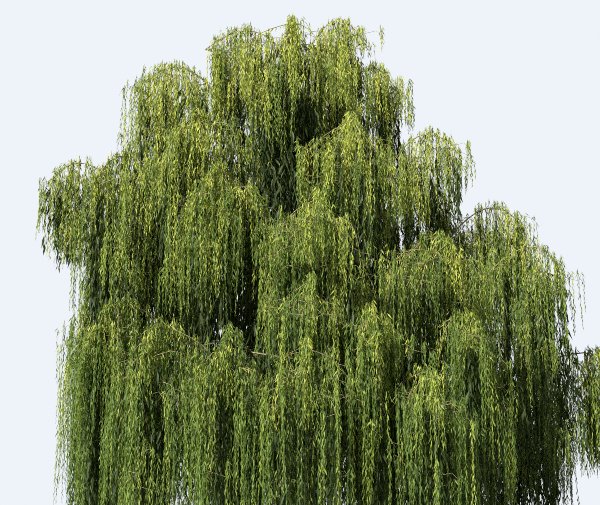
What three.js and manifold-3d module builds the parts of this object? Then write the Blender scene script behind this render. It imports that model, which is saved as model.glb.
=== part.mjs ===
// Weeping willow: one whole tree, about 17 m tall and 18 m across.
// +Z is up, and the origin is the middle of the flat cut under the trunk.
// A viewer stands on the -Y side of the tree and sees +X on the right.
// Sizes are worked out in metres and written to the solids in millimetres.
import * as THREE from 'three';
import { mergeVertices } from 'three/addons/utils/BufferGeometryUtils.js';
import Module from 'manifold-3d';

const wasm = await Module();
wasm.setup();

const MM_PER_METRE = 1000;

// Gap left between two solids that rest on each other, in metres.
const CLEAR = 0.0003;

// A path this steep or steeper counts as upright when its rings are turned.
const UPRIGHT = 0.9;

// Trunk: short and stout, leaning a little, with a root flare at the ground.
const TRUNK_HEIGHT = 3.0;
const TRUNK_FOOT_RADIUS = 0.47;
const TRUNK_TOP_RADIUS = 0.4;
const TRUNK_LEAN = new THREE.Vector2(-0.16, 0.07);
const FLARE_REACH = 0.3;
const FLARE_HEIGHT = 0.42;
const FLARE_ROOTS = 6;
const FLARE_ROOT_SHARE = 0.4;
const TRUNK_GROW_SHARE = 1.05;
const TRUNK_SIDES = 18;
const TRUNK_LEVELS = [0, 0.15, 0.4, 0.8, 1.5, 2.3, 2.85, TRUNK_HEIGHT];

// Limbs: the main ones leave the trunk, the boughs leave a main limb.
const LIMB_SIDES = 7;
const LIMB_STEPS = 8;
const LIMB_TIP_RADIUS = 0.055;
const BOUGH_SIDES = 5;
const BOUGH_STEPS = 4;
const BOUGH_TIP_RADIUS = 0.036;
const BOUGH_ROOT_SHARE = 0.62;
const BOUGH_LEAVES_AT = 0.56;
const BOUGH_FIRST_JOINT = 2;
const LIMB_SWAY = 0.018;
const ARCH_PULL = 0.42;
const TAPER_POWER = 0.8;

// Foliage: a stem arches over each mass, twigs spread from it and leaves hang to the hem.
const STEM_RADIUS = 0.042;
const STEM_TIP_RADIUS = 0.028;
const STEM_STEPS = 5;
const STEM_INNER_SHARE = 0.7;
const STEM_OUTER_SHARE = 0.55;
const STEM_FALL_SHARE = 0.16;
const STEM_SLOPE_SHARE = 0.6;
const BESIDE_AT = 0.93;
const TWIG_RADIUS = 0.036;
const TWIG_TIP_RADIUS = 0.02;
const TWIG_STEPS = 3;
const TWIG_SIDES = 3;
const FEWEST_TWIGS = 4;
const TWIGS_PER_METRE = 1.03;
const TWIG_ROOTS = [0.2, 0.98];
const TWIG_REACH = [0.62, 0.98];
const TWIG_GIVE = 0.5;
const TWIG_TURN = 0.8;
const TWIG_SHOULDER = 0.9;
const TWIG_LIFT = 0.45;
const TWIG_LEAST_FALL = 0.2;
const DOME_SHARE = 0.33;
const DOME_OUTWARD = 0.6;
const RIM_RISE = 0.42;
const HIGH_HEM = 2.5;
const TWIG_BLADE_RADIUS_SHARE = 0.052;
const BLADE_END_RADIUS = 0.004;

// Each leaf blade stands for one hanging spray of the real narrow leaves.
const LEAVES_PER_TWIG = 3;
const LEAF_ROOTS = [0.2, 0.85];
const LEAF_OWN_TWIG_ROOM = 0.7;
const LEAF_TAKEN_ROOM = 0.5;
const LEAF_LONGEST = 2.5;
const LEAF_DROP_SHARE = 0.68;
const LEAF_LENGTH = [0.78, 1.12];
const LEAF_WIDTH_SHARE = 0.145;
const LEAF_THICK_SHARE = 0.4;
const LEAF_WIDEST_AT = 0.4;
const LEAF_SUNK = 0.012;
const LEAF_SPLAY = 0.28;
const LEAF_FOLLOW = 0.16;

// Slivers that joining leaves are dropped below this size, in millimetres.
const JOIN_SLIVER = 0.5;

// Each mass keeps to its own space, tested at points along every twig and blade.
const SPACE_EDGE = 1.05;
const SPACE_GAP = 0.05;
const SPACE_MARGIN = 0.35;
const LOWEST_TIP = 0.25;
const TEST_SPACING = 0.2;
const ROOT_FREE = 0.45;
const SEED = 4127;
const SEED_STEP = 31;
const TRIES = 60;

// Main limbs: where each leaves the trunk, how thick it is and the mass at its tip.
const LIMBS = [
  { name: 'leader', height: 2.75, radius: 0.25, tip: 'top_left' },
  { name: 'left_limb', height: 2.35, radius: 0.19, tip: 'left_wing' },
  { name: 'front_limb', height: 2.5, radius: 0.19, tip: 'centre' },
  { name: 'right_limb', height: 2.2, radius: 0.2, tip: 'right_outer' },
  { name: 'back_limb', height: 2.45, radius: 0.19, tip: 'back' },
];

// Masses of foliage: name, main limb, azimuth, reach, crest, width and drop. The azimuth is
// in degrees round the trunk, from the viewer's side to the viewer's right. Reach is from the
// trunk's axis to the crest, and drop is from the crest to the hem. A last name is that of
// the neighbour whose bough the mass shares.
const MASS_SIZES = [
  ['top_left', 'leader', -84, 1.85, 16.75, 5.1, 4.4],
  ['top_right', 'leader', 95, 1.15, 17.25, 3.0, 4.7, 'top_left'],
  ['top_front', 'leader', -8, 2.5, 16.05, 4.3, 6.0],
  ['top_back', 'leader', 176, 2.9, 15.4, 4.6, 5.2],
  ['upper_left', 'leader', -88, 4.2, 15.5, 4.7, 5.1],
  ['upper_right', 'leader', 84, 2.2, 15.45, 2.8, 4.8, 'right_shoulder'],
  ['right_shoulder', 'leader', 76, 3.95, 12.95, 3.3, 3.2],
  ['front_upper_left', 'front_limb', -41, 4.5, 12.7, 3.9, 4.8],
  ['front_upper_right', 'leader', 18, 3.9, 12.5, 4.1, 4.8],
  ['left_wing', 'left_limb', -90, 7.25, 12.3, 3.1, 3.6],
  ['left_middle', 'left_limb', -64, 5.9, 11.75, 3.7, 6.0],
  ['centre_left', 'front_limb', -27, 5.1, 10.8, 3.6, 5.8],
  ['centre', 'front_limb', 3, 5.8, 9.6, 4.1, 5.2],
  ['right_middle', 'right_limb', 38, 5.6, 8.8, 4.3, 4.8],
  ['right_outer', 'right_limb', 86, 5.95, 10.7, 3.5, 4.8],
  ['left_skirt', 'left_limb', -92, 6.15, 8.6, 3.4, 8.0, 'left_low'],
  ['left_low', 'left_limb', -54, 6.3, 7.1, 3.0, 6.6],
  ['front_left', 'front_limb', -31, 7.0, 6.1, 3.4, 5.7],
  ['front_middle', 'front_limb', 1, 7.1, 7.1, 3.5, 5.0],
  ['front_low', 'front_limb', -13, 7.8, 5.7, 3.1, 5.3],
  ['centre_low', 'front_limb', 0, 8.5, 5.2, 2.9, 4.8, 'front_low'],
  ['front_right', 'front_limb', 12, 7.5, 6.3, 2.9, 5.9, 'front_middle'],
  ['right_low', 'right_limb', 20, 8.2, 4.7, 3.1, 4.3],
  ['right_fall', 'right_limb', 35, 7.0, 6.4, 3.0, 5.9],
  ['right_hem', 'right_limb', 68, 7.15, 8.95, 2.8, 4.9, 'right_fall'],
  ['far_right', 'right_limb', 76, 8.4, 5.9, 2.8, 3.6],
  ['back', 'back_limb', 176, 5.4, 11.6, 5.4, 6.4],
  ['back_right', 'back_limb', 130, 5.4, 12.0, 5.3, 6.4],
  ['back_left', 'back_limb', -126, 5.4, 12.2, 5.3, 6.8],
  ['back_low_right', 'right_limb', 112, 7.2, 7.2, 4.9, 6.8],
  ['back_low', 'back_limb', 153, 7.3, 6.5, 4.6, 6.1],
  ['back_low_middle', 'back_limb', -165, 7.2, 6.9, 4.6, 6.5, 'back_low'],
  ['back_low_left', 'left_limb', -127, 7.0, 7.3, 4.6, 6.9],
];
const MASSES = MASS_SIZES.map(
  ([name, limb, azimuth, reach, crest, width, drop, beside]) => (
    { name, limb, azimuth, reach, crest, width, drop, beside }
  ),
);

// A repeatable stream of numbers from 0 to 1 for one seed.
function seeded(seed) {
  let state = seed >>> 0;
  return () => {
    state = (Math.imul(state, 1664525) + 1013904223) >>> 0;
    return state / 2 ** 32;
  };
}

const UP = new THREE.Vector3(0, 0, 1);
const lerp = THREE.MathUtils.lerp;

function outward(azimuth) {
  const angle = THREE.MathUtils.degToRad(azimuth);
  return new THREE.Vector3(Math.sin(angle), -Math.cos(angle), 0);
}

// A curve through three control points, as a list of points.
function bend(start, pull, end, steps) {
  return new THREE.QuadraticBezierCurve3(start, pull, end).getPoints(steps);
}

function pointAlong(path, share) {
  const place = share * (path.length - 1);
  const index = Math.min(Math.floor(place), path.length - 2);
  return path[index].clone().lerp(path[index + 1], place - index);
}

function directionAlong(path, index) {
  const before = path[Math.max(index - 1, 0)];
  const after = path[Math.min(index + 1, path.length - 1)];
  return after.clone().sub(before).normalize();
}

// Closed solid through a list of rings, each with the same number of points.
function solidFromRings(rings) {
  const sides = rings[0].length;
  const positions = [];
  const faces = [];
  for (const ring of rings) {
    for (const point of ring) {
      positions.push(point.x * MM_PER_METRE, point.y * MM_PER_METRE, point.z * MM_PER_METRE);
    }
  }
  for (let level = 0; level < rings.length - 1; level += 1) {
    for (let side = 0; side < sides; side += 1) {
      const next = (side + 1) % sides;
      const low = level * sides;
      const high = low + sides;
      faces.push(low + side, low + next, high + next);
      faces.push(low + side, high + next, high + side);
    }
  }
  const last = (rings.length - 1) * sides;
  for (let side = 1; side < sides - 1; side += 1) {
    faces.push(0, side + 1, side);
    faces.push(last, last + side, last + side + 1);
  }
  return solidFromFaces(positions, faces);
}

function solidFromFaces(positions, faces) {
  const mesh = new wasm.Mesh({
    numProp: 3,
    vertProperties: new Float32Array(positions),
    triVerts: new Uint32Array(faces),
  });
  return new wasm.Manifold(mesh);
}

// Round solid along a path. The rings turn with the path without twisting, and an end
// ring faces the way that is named for it.
function tube(path, radii, sides, { grow = 0, first = null, last = null } = {}) {
  const rings = [];
  let across = null;
  for (let index = 0; index < path.length; index += 1) {
    let along = directionAlong(path, index);
    if (index === 0 && first) along = first;
    if (index === path.length - 1 && last) along = last;
    const guide = across ?? (Math.abs(along.z) > UPRIGHT ? new THREE.Vector3(1, 0, 0) : UP);
    across = guide.clone().addScaledVector(along, -guide.dot(along)).normalize();
    const third = new THREE.Vector3().crossVectors(along, across);
    const radius = radii[index] + grow / Math.cos(Math.PI / sides);
    const centre = path[index].clone();
    if (index === 0) centre.addScaledVector(along, -grow);
    if (index === path.length - 1) centre.addScaledVector(along, grow);
    const ring = [];
    for (let side = 0; side < sides; side += 1) {
      const angle = (2 * Math.PI * side) / sides;
      ring.push(
        centre.clone()
          .addScaledVector(across, radius * Math.cos(angle))
          .addScaledVector(third, radius * Math.sin(angle)),
      );
    }
    rings.push(ring);
  }
  return solidFromRings(rings);
}

// The trunk's axis and its radius at a height and an angle round it.
function trunkCentre(height) {
  const share = height / TRUNK_HEIGHT;
  return new THREE.Vector3(TRUNK_LEAN.x * share * share, TRUNK_LEAN.y * share * share, height);
}

function trunkRadius(height, angle) {
  const column = lerp(TRUNK_FOOT_RADIUS, TRUNK_TOP_RADIUS, height / TRUNK_HEIGHT);
  const flare = FLARE_REACH * Math.exp(-height / FLARE_HEIGHT);
  const roots = 1 + FLARE_ROOT_SHARE * Math.cos(FLARE_ROOTS * angle + Math.sin(2 * angle));
  return column + flare * roots;
}

function trunkSolid(grow = 0) {
  const rings = TRUNK_LEVELS.map((level) => {
    const centre = trunkCentre(level);
    if (level === TRUNK_HEIGHT) centre.z += grow;
    const ring = [];
    for (let side = 0; side < TRUNK_SIDES; side += 1) {
      const angle = (2 * Math.PI * side) / TRUNK_SIDES;
      const radius = trunkRadius(level, angle) + TRUNK_GROW_SHARE * grow;
      ring.push(centre.clone().add(
        new THREE.Vector3(radius * Math.cos(angle), radius * Math.sin(angle), 0),
      ));
    }
    return ring;
  });
  return solidFromRings(rings);
}

// The stem of a mass: it enters on the trunk's side, arches over at the crest and
// comes down a little on the outer side.
function stemPath(mass) {
  const out = outward(mass.azimuth);
  const half = mass.width / 2;
  const climb = Math.atan2(mass.crest - TRUNK_HEIGHT, mass.reach);
  const inner = -STEM_INNER_SHARE * half;
  const outer = STEM_OUTER_SHARE * half;
  const rise = -inner * Math.tan(STEM_SLOPE_SHARE * climb);
  const fall = STEM_FALL_SHARE * mass.drop;
  const top = Math.sqrt(rise) / (Math.sqrt(rise) + Math.sqrt(fall));
  const middle = -((1 - top) ** 2 * inner + top ** 2 * outer) / (2 * top * (1 - top));
  const place = (distance, height) => out.clone()
    .multiplyScalar(mass.reach + distance)
    .setZ(mass.crest - STEM_RADIUS + height);
  return bend(
    place(inner, -rise),
    place(middle, Math.sqrt(rise * fall)),
    place(outer, -fall),
    STEM_STEPS,
  );
}

function stemDirection(mass) {
  const stem = stemPath(mass);
  return stem[1].clone().sub(stem[0]).normalize();
}

// A limb from a start point to the entry of a mass, easing into the mass's stem.
function limbPath(start, mass, steps, random) {
  const stem = stemPath(mass);
  const end = stem[0];
  const length = end.distanceTo(start);
  const pull = end.clone().addScaledVector(stemDirection(mass), -ARCH_PULL * length);
  const path = bend(start, pull, end, steps);
  for (let index = 1; index < steps; index += 1) {
    const sway = LIMB_SWAY * length * Math.sin((Math.PI * index) / steps);
    path[index].x += sway * (2 * random() - 1);
    path[index].y += sway * (2 * random() - 1);
  }
  return path;
}

function limbSolid(limb, grow = 0) {
  return tube(limb.path, limb.radii, limb.sides, { grow, last: limb.last });
}

// Radii from a root to a tip, thinning a little faster near the root.
function taper(root, tip, steps) {
  const share = (index) => (index / steps) ** TAPER_POWER;
  return Array.from({ length: steps + 1 }, (_, index) => lerp(root, tip, share(index)));
}

function mainLimb(limb, random) {
  const mass = massNamed(limb.tip);
  const path = limbPath(trunkCentre(limb.height), mass, LIMB_STEPS, random);
  const radii = taper(limb.radius, LIMB_TIP_RADIUS, LIMB_STEPS);
  return { name: limb.name, path, radii, sides: LIMB_SIDES, last: stemDirection(mass) };
}

// A bough leaves its main limb at a share of the height that it has to reach.
function bough(mass, parent, random) {
  const height = lerp(parent.path[0].z, stemPath(mass)[0].z, BOUGH_LEAVES_AT);
  let place = parent.path.findIndex((point) => point.z > height);
  if (place < 0) place = parent.path.length - 2;
  place = THREE.MathUtils.clamp(place, BOUGH_FIRST_JOINT, parent.path.length - 2);
  const path = limbPath(parent.path[place], mass, BOUGH_STEPS, random);
  const radii = taper(BOUGH_ROOT_SHARE * parent.radii[place], BOUGH_TIP_RADIUS, BOUGH_STEPS);
  const last = stemDirection(mass);
  return { name: `${mass.name}_bough`, path, radii, sides: BOUGH_SIDES, last };
}

function massNamed(name) {
  return MASSES.find((mass) => mass.name === name);
}

// How far a point is from the axis of a mass, as a share of its half width.
function offAxis(mass, point) {
  const axis = outward(mass.azimuth).multiplyScalar(mass.reach);
  return Math.hypot(point.x - axis.x, point.y - axis.y) / (mass.width / 2);
}

// A mass keeps to its own space: inside its width, and nearer to its own axis than to
// that of any mass at the same height.
function inSpace(mass, point, room) {
  const own = offAxis(mass, point);
  if (own > SPACE_EDGE || point.z < LOWEST_TIP) return false;
  const gap = (SPACE_GAP + room) / (mass.width / 2);
  return MASSES.every((other) => {
    const above = point.z > other.crest + SPACE_MARGIN;
    const below = point.z < other.crest - other.drop - SPACE_MARGIN;
    return other === mass || above || below || offAxis(other, point) > own + gap;
  });
}

// Points along a path, no further apart than the spacing, from a distance along it.
function spread(path, from = 0) {
  const points = [];
  let passed = 0;
  for (let index = 1; index < path.length; index += 1) {
    const length = path[index - 1].distanceTo(path[index]);
    const steps = Math.ceil(length / TEST_SPACING);
    for (let step = 1; step <= steps; step += 1) {
      if (passed + (length * step) / steps < from) continue;
      points.push(path[index - 1].clone().lerp(path[index], step / steps));
    }
    passed += length;
  }
  return points;
}

function clearOfLimbs(limbs, point, room) {
  return limbs.every((limb) => limb.path.every((joint, index) => {
    if (index === 0) return true;
    const line = new THREE.Line3(limb.path[index - 1], joint);
    const nearest = line.closestPointToPoint(point, true, new THREE.Vector3());
    return nearest.distanceTo(point) > limb.radii[index - 1] + room;
  }));
}

// The longest leaf blade of a mass. Its twigs carry the rest of the drop.
function bladeLength(mass) {
  return Math.min(LEAF_LONGEST, LEAF_DROP_SHARE * mass.drop);
}

// The height of a mass's hem under a point. A hem high above the ground rises outwards.
function hemAt(mass, point) {
  const hem = mass.crest - mass.drop;
  if (hem < HIGH_HEM) return hem;
  const rim = (point.dot(outward(mass.azimuth)) - mass.reach) / (mass.width / 2);
  return hem + RIM_RISE * mass.drop * Math.max(rim, 0);
}

// One twig: from the stem it bends over the side of the dome and hangs. The dome is lower
// on its outer side. A twig that has found no room gives up some of its reach.
function twigPath(mass, stem, share, side, give, random) {
  const half = mass.width / 2;
  const turn = side * Math.PI * (1 - share) + TWIG_TURN * (random() - 0.5);
  const reach = half * lerp(...TWIG_REACH, random()) * (1 - give);
  const out = outward(mass.azimuth);
  const across = new THREE.Vector3().crossVectors(UP, out);
  const shift = out.clone().multiplyScalar(Math.cos(turn))
    .addScaledVector(across, Math.sin(turn));
  const foot = out.clone().multiplyScalar(mass.reach).addScaledVector(shift, reach);
  const start = pointAlong(stem, lerp(...TWIG_ROOTS, share));
  const shoulder = start.clone().lerp(foot, TWIG_SHOULDER);
  const dome = DOME_SHARE * half * (reach / half) ** 2 * (1 + DOME_OUTWARD * Math.cos(turn));
  shoulder.z = Math.min(mass.crest - dome, start.z + TWIG_LIFT * reach);
  const hang = hemAt(mass, foot) + bladeLength(mass);
  foot.z = Math.min(hang, shoulder.z - TWIG_LEAST_FALL);
  return bend(start, shoulder, foot, TWIG_STEPS);
}

// The blade that a twig runs on into: from its foot, the waist and the tip.
function endBlade(mass, twig, random) {
  const length = lerp(...LEAF_LENGTH, random()) * bladeLength(mass);
  const waist = twig.at(-1).clone().addScaledVector(UP, -LEAF_WIDEST_AT * length);
  const tip = twig.at(-1).clone().addScaledVector(UP, -length);
  return { waist, tip, radius: TWIG_BLADE_RADIUS_SHARE * length };
}

function twigSolid(twig, blade) {
  const radii = [
    ...taper(TWIG_RADIUS, TWIG_TIP_RADIUS, TWIG_STEPS),
    blade.radius,
    BLADE_END_RADIUS,
  ];
  return tube([...twig, blade.waist, blade.tip], radii, TWIG_SIDES);
}

// One leaf blade, hanging from a point on its twig and ridged down its middle.
function leafFrame(mass, twig, share, random) {
  const root = pointAlong(twig, share);
  const along = directionAlong(twig, Math.round(share * TWIG_STEPS));
  const turn = 2 * Math.PI * random();
  const side = new THREE.Vector3(Math.cos(turn), Math.sin(turn), 0);
  const aim = along.multiplyScalar(LEAF_FOLLOW)
    .addScaledVector(side, LEAF_SPLAY)
    .sub(UP)
    .normalize();
  const length = lerp(...LEAF_LENGTH, random()) * bladeLength(mass);
  const flat = new THREE.Vector3().crossVectors(UP, side);
  const face = new THREE.Vector3().crossVectors(aim, flat).normalize();
  return { root, aim, length, flat: face.clone().cross(aim), face };
}

function leafSolid({ root, aim, length, flat, face }) {
  const width = (LEAF_WIDTH_SHARE * length) / 2;
  const thick = LEAF_THICK_SHARE * width;
  const start = root.clone().addScaledVector(aim, -LEAF_SUNK);
  const waist = start.clone().addScaledVector(aim, LEAF_WIDEST_AT * length);
  const corners = [
    start,
    waist.clone().addScaledVector(flat, width).addScaledVector(face, -thick),
    waist.clone().addScaledVector(flat, -width).addScaledVector(face, -thick),
    waist.clone().addScaledVector(face, thick),
    start.clone().addScaledVector(aim, length),
  ];
  const positions = corners.flatMap((corner) => corner.multiplyScalar(MM_PER_METRE).toArray());
  const faces = [0, 1, 2, 0, 2, 3, 0, 3, 1, 4, 2, 1, 4, 3, 2, 4, 1, 3];
  const solid = solidFromFaces(positions, faces);
  return solid.volume() < 0 ? solidFromFaces(positions, faces.toReversed()) : solid;
}

function keeps(mass, limbs, points, room) {
  return points.every((point) => inSpace(mass, point, room) && clearOfLimbs(limbs, point, room));
}

// The stem with the piece that joins it to its bough, at the tip or beside it.
function wholeStem(mass, limbs) {
  const stem = stemPath(mass);
  const home = limbs.find((limb) => limb.name === limbOf(mass));
  const lead = stemDirection(mass);
  const start = mass.beside
    ? pointAlong(home.path, BESIDE_AT)
    : stem[0].clone().addScaledVector(lead, CLEAR);
  const path = [start, ...stem.slice(mass.beside ? 0 : 1)];
  const radii = taper(STEM_RADIUS, STEM_TIP_RADIUS, path.length - 1);
  return { mass, path, radii, first: mass.beside ? null : lead };
}

// A whole mass as one solid: stem, twigs and leaves joined.
function massSolid(mass, limbs, stems, seed) {
  const random = seeded(seed);
  const stem = stemPath(mass);
  const home = limbs.find((limb) => limb.name === limbOf(mass));
  const { path, radii, first } = stems.find((entry) => entry.mass === mass);
  const pieces = [tube(path, radii, TWIG_SIDES, { first })];
  const taken = [{ path, room: STEM_RADIUS }];
  const others = [
    ...limbs.filter((limb) => limb !== home),
    ...stems.filter((entry) => entry.mass !== mass),
  ];
  const count = Math.max(FEWEST_TWIGS, Math.round(TWIGS_PER_METRE * mass.width));
  const twigs = [];
  for (let index = 0; index < count; index += 1) {
    const side = index % 2 === 0 ? 1 : -1;
    for (let attempt = 0; attempt < TRIES; attempt += 1) {
      const share = (index + random()) / count;
      const give = (TWIG_GIVE * attempt) / TRIES;
      const twig = twigPath(mass, stem, share, side, give, random);
      const blade = endBlade(mass, twig, random);
      const whole = [...twig, blade.waist, blade.tip];
      if (!keeps(mass, others, spread(whole, ROOT_FREE), blade.radius)) continue;
      if (!apart(taken, spread(whole, ROOT_FREE), blade.radius)) continue;
      pieces.push(twigSolid(twig, blade));
      taken.push({ path: twig, room: TWIG_RADIUS });
      taken.push({ path: whole.slice(-3), room: blade.radius });
      twigs.push(twig);
      break;
    }
  }
  for (const twig of twigs) addLeaves(mass, others, twig, taken, pieces, random);
  const whole = wasm.Manifold.union(pieces).simplify(JOIN_SLIVER);
  return largest(mass.beside ? whole.subtract(limbSolid(home, CLEAR)) : whole);
}

// True where a row of points keeps away from everything placed so far in the mass.
function apart(taken, points, room) {
  const limbs = taken.map((entry) => ({
    path: entry.path, radii: entry.path.map(() => entry.room),
  }));
  return points.every((point) => clearOfLimbs(limbs, point, room));
}

function addLeaves(mass, limbs, twig, taken, pieces, random) {
  for (let index = 0; index < LEAVES_PER_TWIG; index += 1) {
    for (let attempt = 0; attempt < TRIES; attempt += 1) {
      const share = lerp(...LEAF_ROOTS, (index + random()) / LEAVES_PER_TWIG);
      const leaf = leafFrame(mass, twig, share, random);
      const room = (LEAF_WIDTH_SHARE * leaf.length) / 2;
      const axis = [leaf.root, leaf.root.clone().addScaledVector(leaf.aim, leaf.length)];
      if (!keeps(mass, limbs, spread(axis), room)) continue;
      const rest = taken.filter((entry) => entry.path !== twig);
      if (!apart(rest, spread(axis), room)) continue;
      if (!apart(taken, spread(axis, ROOT_FREE), LEAF_OWN_TWIG_ROOM * room)) continue;
      pieces.push(leafSolid(leaf));
      taken.push({ path: axis, room: LEAF_TAKEN_ROOM * room });
      break;
    }
  }
}

function largest(solid) {
  return solid.decompose().reduce((best, piece) => (piece.volume() > best.volume() ? piece : best));
}

function limbOf(mass) {
  const limb = LIMBS.find((entry) => entry.tip === (mass.beside ?? mass.name));
  return limb ? limb.name : `${mass.beside ?? mass.name}_bough`;
}

// Every main limb, then every bough, as paths and radii.
function allLimbs() {
  const random = seeded(SEED);
  const mains = LIMBS.map((limb) => mainLimb(limb, random));
  const tips = LIMBS.map((limb) => limb.tip);
  const boughs = MASSES
    .filter((mass) => !mass.beside && !tips.includes(mass.name))
    .map((mass) => bough(mass, mains.find((limb) => limb.name === mass.limb), random));
  return [...mains, ...boughs];
}

// Bark and foliage finishes.
const BARK = new THREE.MeshStandardMaterial({ name: 'bark', color: 0x6b5a45, roughness: 0.95 });
const BOUGH_BARK = new THREE.MeshStandardMaterial({
  name: 'bough_bark', color: 0x7d6a48, roughness: 0.9,
});
const FOLIAGE = new THREE.MeshStandardMaterial({ name: 'foliage', color: 0x7f9a2f, roughness: 0.6 });

function meshFrom(name, solid, material) {
  const { vertProperties, triVerts } = solid.getMesh();
  let geometry = new THREE.BufferGeometry();
  geometry.setAttribute('position', new THREE.BufferAttribute(vertProperties.slice(), 3));
  geometry.setIndex(new THREE.BufferAttribute(triVerts.slice(), 1));
  geometry = mergeVertices(geometry);
  geometry.computeVertexNormals();
  const mesh = new THREE.Mesh(geometry, material);
  mesh.name = name;
  return mesh;
}

const tree = new THREE.Group();
tree.name = 'weeping_willow';
tree.add(meshFrom('trunk', trunkSolid(), BARK));

const limbs = allLimbs();
const standing = [trunkSolid(CLEAR)];
for (const limb of limbs) {
  const cut = largest(limbSolid(limb).subtract(wasm.Manifold.union(standing)));
  tree.add(meshFrom(limb.name, cut, BOUGH_BARK));
  standing.push(limbSolid(limb, CLEAR));
}

const stems = MASSES.map((mass) => wholeStem(mass, limbs));
MASSES.forEach((mass, index) => {
  const solid = massSolid(mass, limbs, stems, SEED + SEED_STEP * (index + 1));
  tree.add(meshFrom(`${mass.name}_foliage`, solid, FOLIAGE));
});

export default tree;
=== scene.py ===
# %% [markdown]
# # A weeping willow, seen from across a lawn
#
# A weeping willow is a short stout trunk, a handful of main limbs and a great many thin
# shoots. The limbs climb, arch over and stop. From there on every shoot is too thin to
# hold itself up, so it hangs straight down and carries narrow leaves to its very tip.
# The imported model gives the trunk, the limbs and the space of each mass of foliage. This
# file grows the fine wood and the leaves inside those spaces, by the same rule.

# %% Load the frame
import math
from collections import namedtuple

import bpy
import numpy as np
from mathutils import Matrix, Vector


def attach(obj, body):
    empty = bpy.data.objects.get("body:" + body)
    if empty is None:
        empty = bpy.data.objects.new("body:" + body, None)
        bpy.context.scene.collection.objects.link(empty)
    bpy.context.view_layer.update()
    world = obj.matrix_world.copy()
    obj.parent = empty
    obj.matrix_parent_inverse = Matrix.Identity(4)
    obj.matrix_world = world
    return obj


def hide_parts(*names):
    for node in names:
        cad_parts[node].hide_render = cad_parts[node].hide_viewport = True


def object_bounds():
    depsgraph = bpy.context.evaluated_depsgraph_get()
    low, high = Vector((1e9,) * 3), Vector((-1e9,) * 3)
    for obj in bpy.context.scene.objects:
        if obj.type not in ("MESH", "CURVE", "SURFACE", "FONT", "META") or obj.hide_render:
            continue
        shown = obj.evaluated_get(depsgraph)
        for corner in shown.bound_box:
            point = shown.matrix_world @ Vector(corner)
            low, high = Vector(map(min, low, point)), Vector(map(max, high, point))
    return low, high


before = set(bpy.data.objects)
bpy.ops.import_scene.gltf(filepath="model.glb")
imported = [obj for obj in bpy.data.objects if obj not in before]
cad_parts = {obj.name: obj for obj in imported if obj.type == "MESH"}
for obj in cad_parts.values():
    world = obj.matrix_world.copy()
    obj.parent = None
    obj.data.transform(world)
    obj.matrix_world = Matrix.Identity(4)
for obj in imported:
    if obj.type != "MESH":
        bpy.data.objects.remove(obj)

solid_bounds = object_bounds()
print("solid tree from", [round(v, 2) for v in solid_bounds[0]],
      "to", [round(v, 2) for v in solid_bounds[1]])

# %% [markdown]
# ## The view
#
# The camera comes first. The crown shows its underside only a little, so the eye is at
# head height. The lens follows from how tall the tree stands in the frame at that
# distance. A camera could also be aimed with a Track To constraint, but two plain angles
# are easier to read and to repeat.

# %% Camera
IMAGE_WIDTH = 600
LENS_IN_PIXELS = 1161
SENSOR_WIDTH = 36.0
EYE = (-0.15, -36.0, 1.65)
PITCH = 12.0

camera_data = bpy.data.cameras.new("camera")
camera_data.sensor_width = SENSOR_WIDTH
camera_data.lens = SENSOR_WIDTH * LENS_IN_PIXELS / IMAGE_WIDTH
camera_data.clip_end = 500
camera = bpy.data.objects.new("camera", camera_data)
camera.location = EYE
camera.rotation_euler = (math.radians(90 + PITCH), 0, 0)
bpy.context.collection.objects.link(camera)
bpy.context.scene.camera = camera
print("lens of", round(camera_data.lens, 1), "mm at", EYE)

# %% [markdown]
# ## Where the limbs and the masses are
#
# Each mass of foliage is an upright drum of air: so many degrees round the trunk, so far
# out, with a crest, a width and a drop to its hem. The table is the solid tree's own. A
# tree could be drawn limb by limb instead, but a rule with a fixed stream of random
# numbers gives the same tree every time and can be grown finer later.

# %% Named sizes of the solid tree
TRUNK_HEIGHT = 3.0
TRUNK_FOOT_RADIUS = 0.47
TRUNK_TOP_RADIUS = 0.4
TRUNK_LEAN = (-0.16, 0.07)
FLARE_REACH = 0.3
FLARE_HEIGHT = 0.42
FLARE_ROOTS = 6
FLARE_ROOT_SHARE = 0.4
LIMB_STEPS = 8
LIMB_TIP_RADIUS = 0.055
BOUGH_STEPS = 4
BOUGH_TIP_RADIUS = 0.036
BOUGH_ROOT_SHARE = 0.62
BOUGH_LEAVES_AT = 0.56
BOUGH_FIRST_JOINT = 2
LIMB_SWAY = 0.018
ARCH_PULL = 0.42
TAPER_POWER = 0.8
STEM_RADIUS = 0.042
STEM_TIP_RADIUS = 0.028
STEM_STEPS = 5
STEM_INNER_SHARE = 0.7
STEM_OUTER_SHARE = 0.55
STEM_FALL_SHARE = 0.16
STEM_SLOPE_SHARE = 0.6
BESIDE_AT = 0.93
SEED = 4127
SEED_STEP = 31

Limb = namedtuple("Limb", "name height radius tip")
LIMBS = [
    Limb("leader", 2.75, 0.25, "top_left"),
    Limb("left_limb", 2.35, 0.19, "left_wing"),
    Limb("front_limb", 2.5, 0.19, "centre"),
    Limb("right_limb", 2.2, 0.2, "right_outer"),
    Limb("back_limb", 2.45, 0.19, "back"),
]

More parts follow.
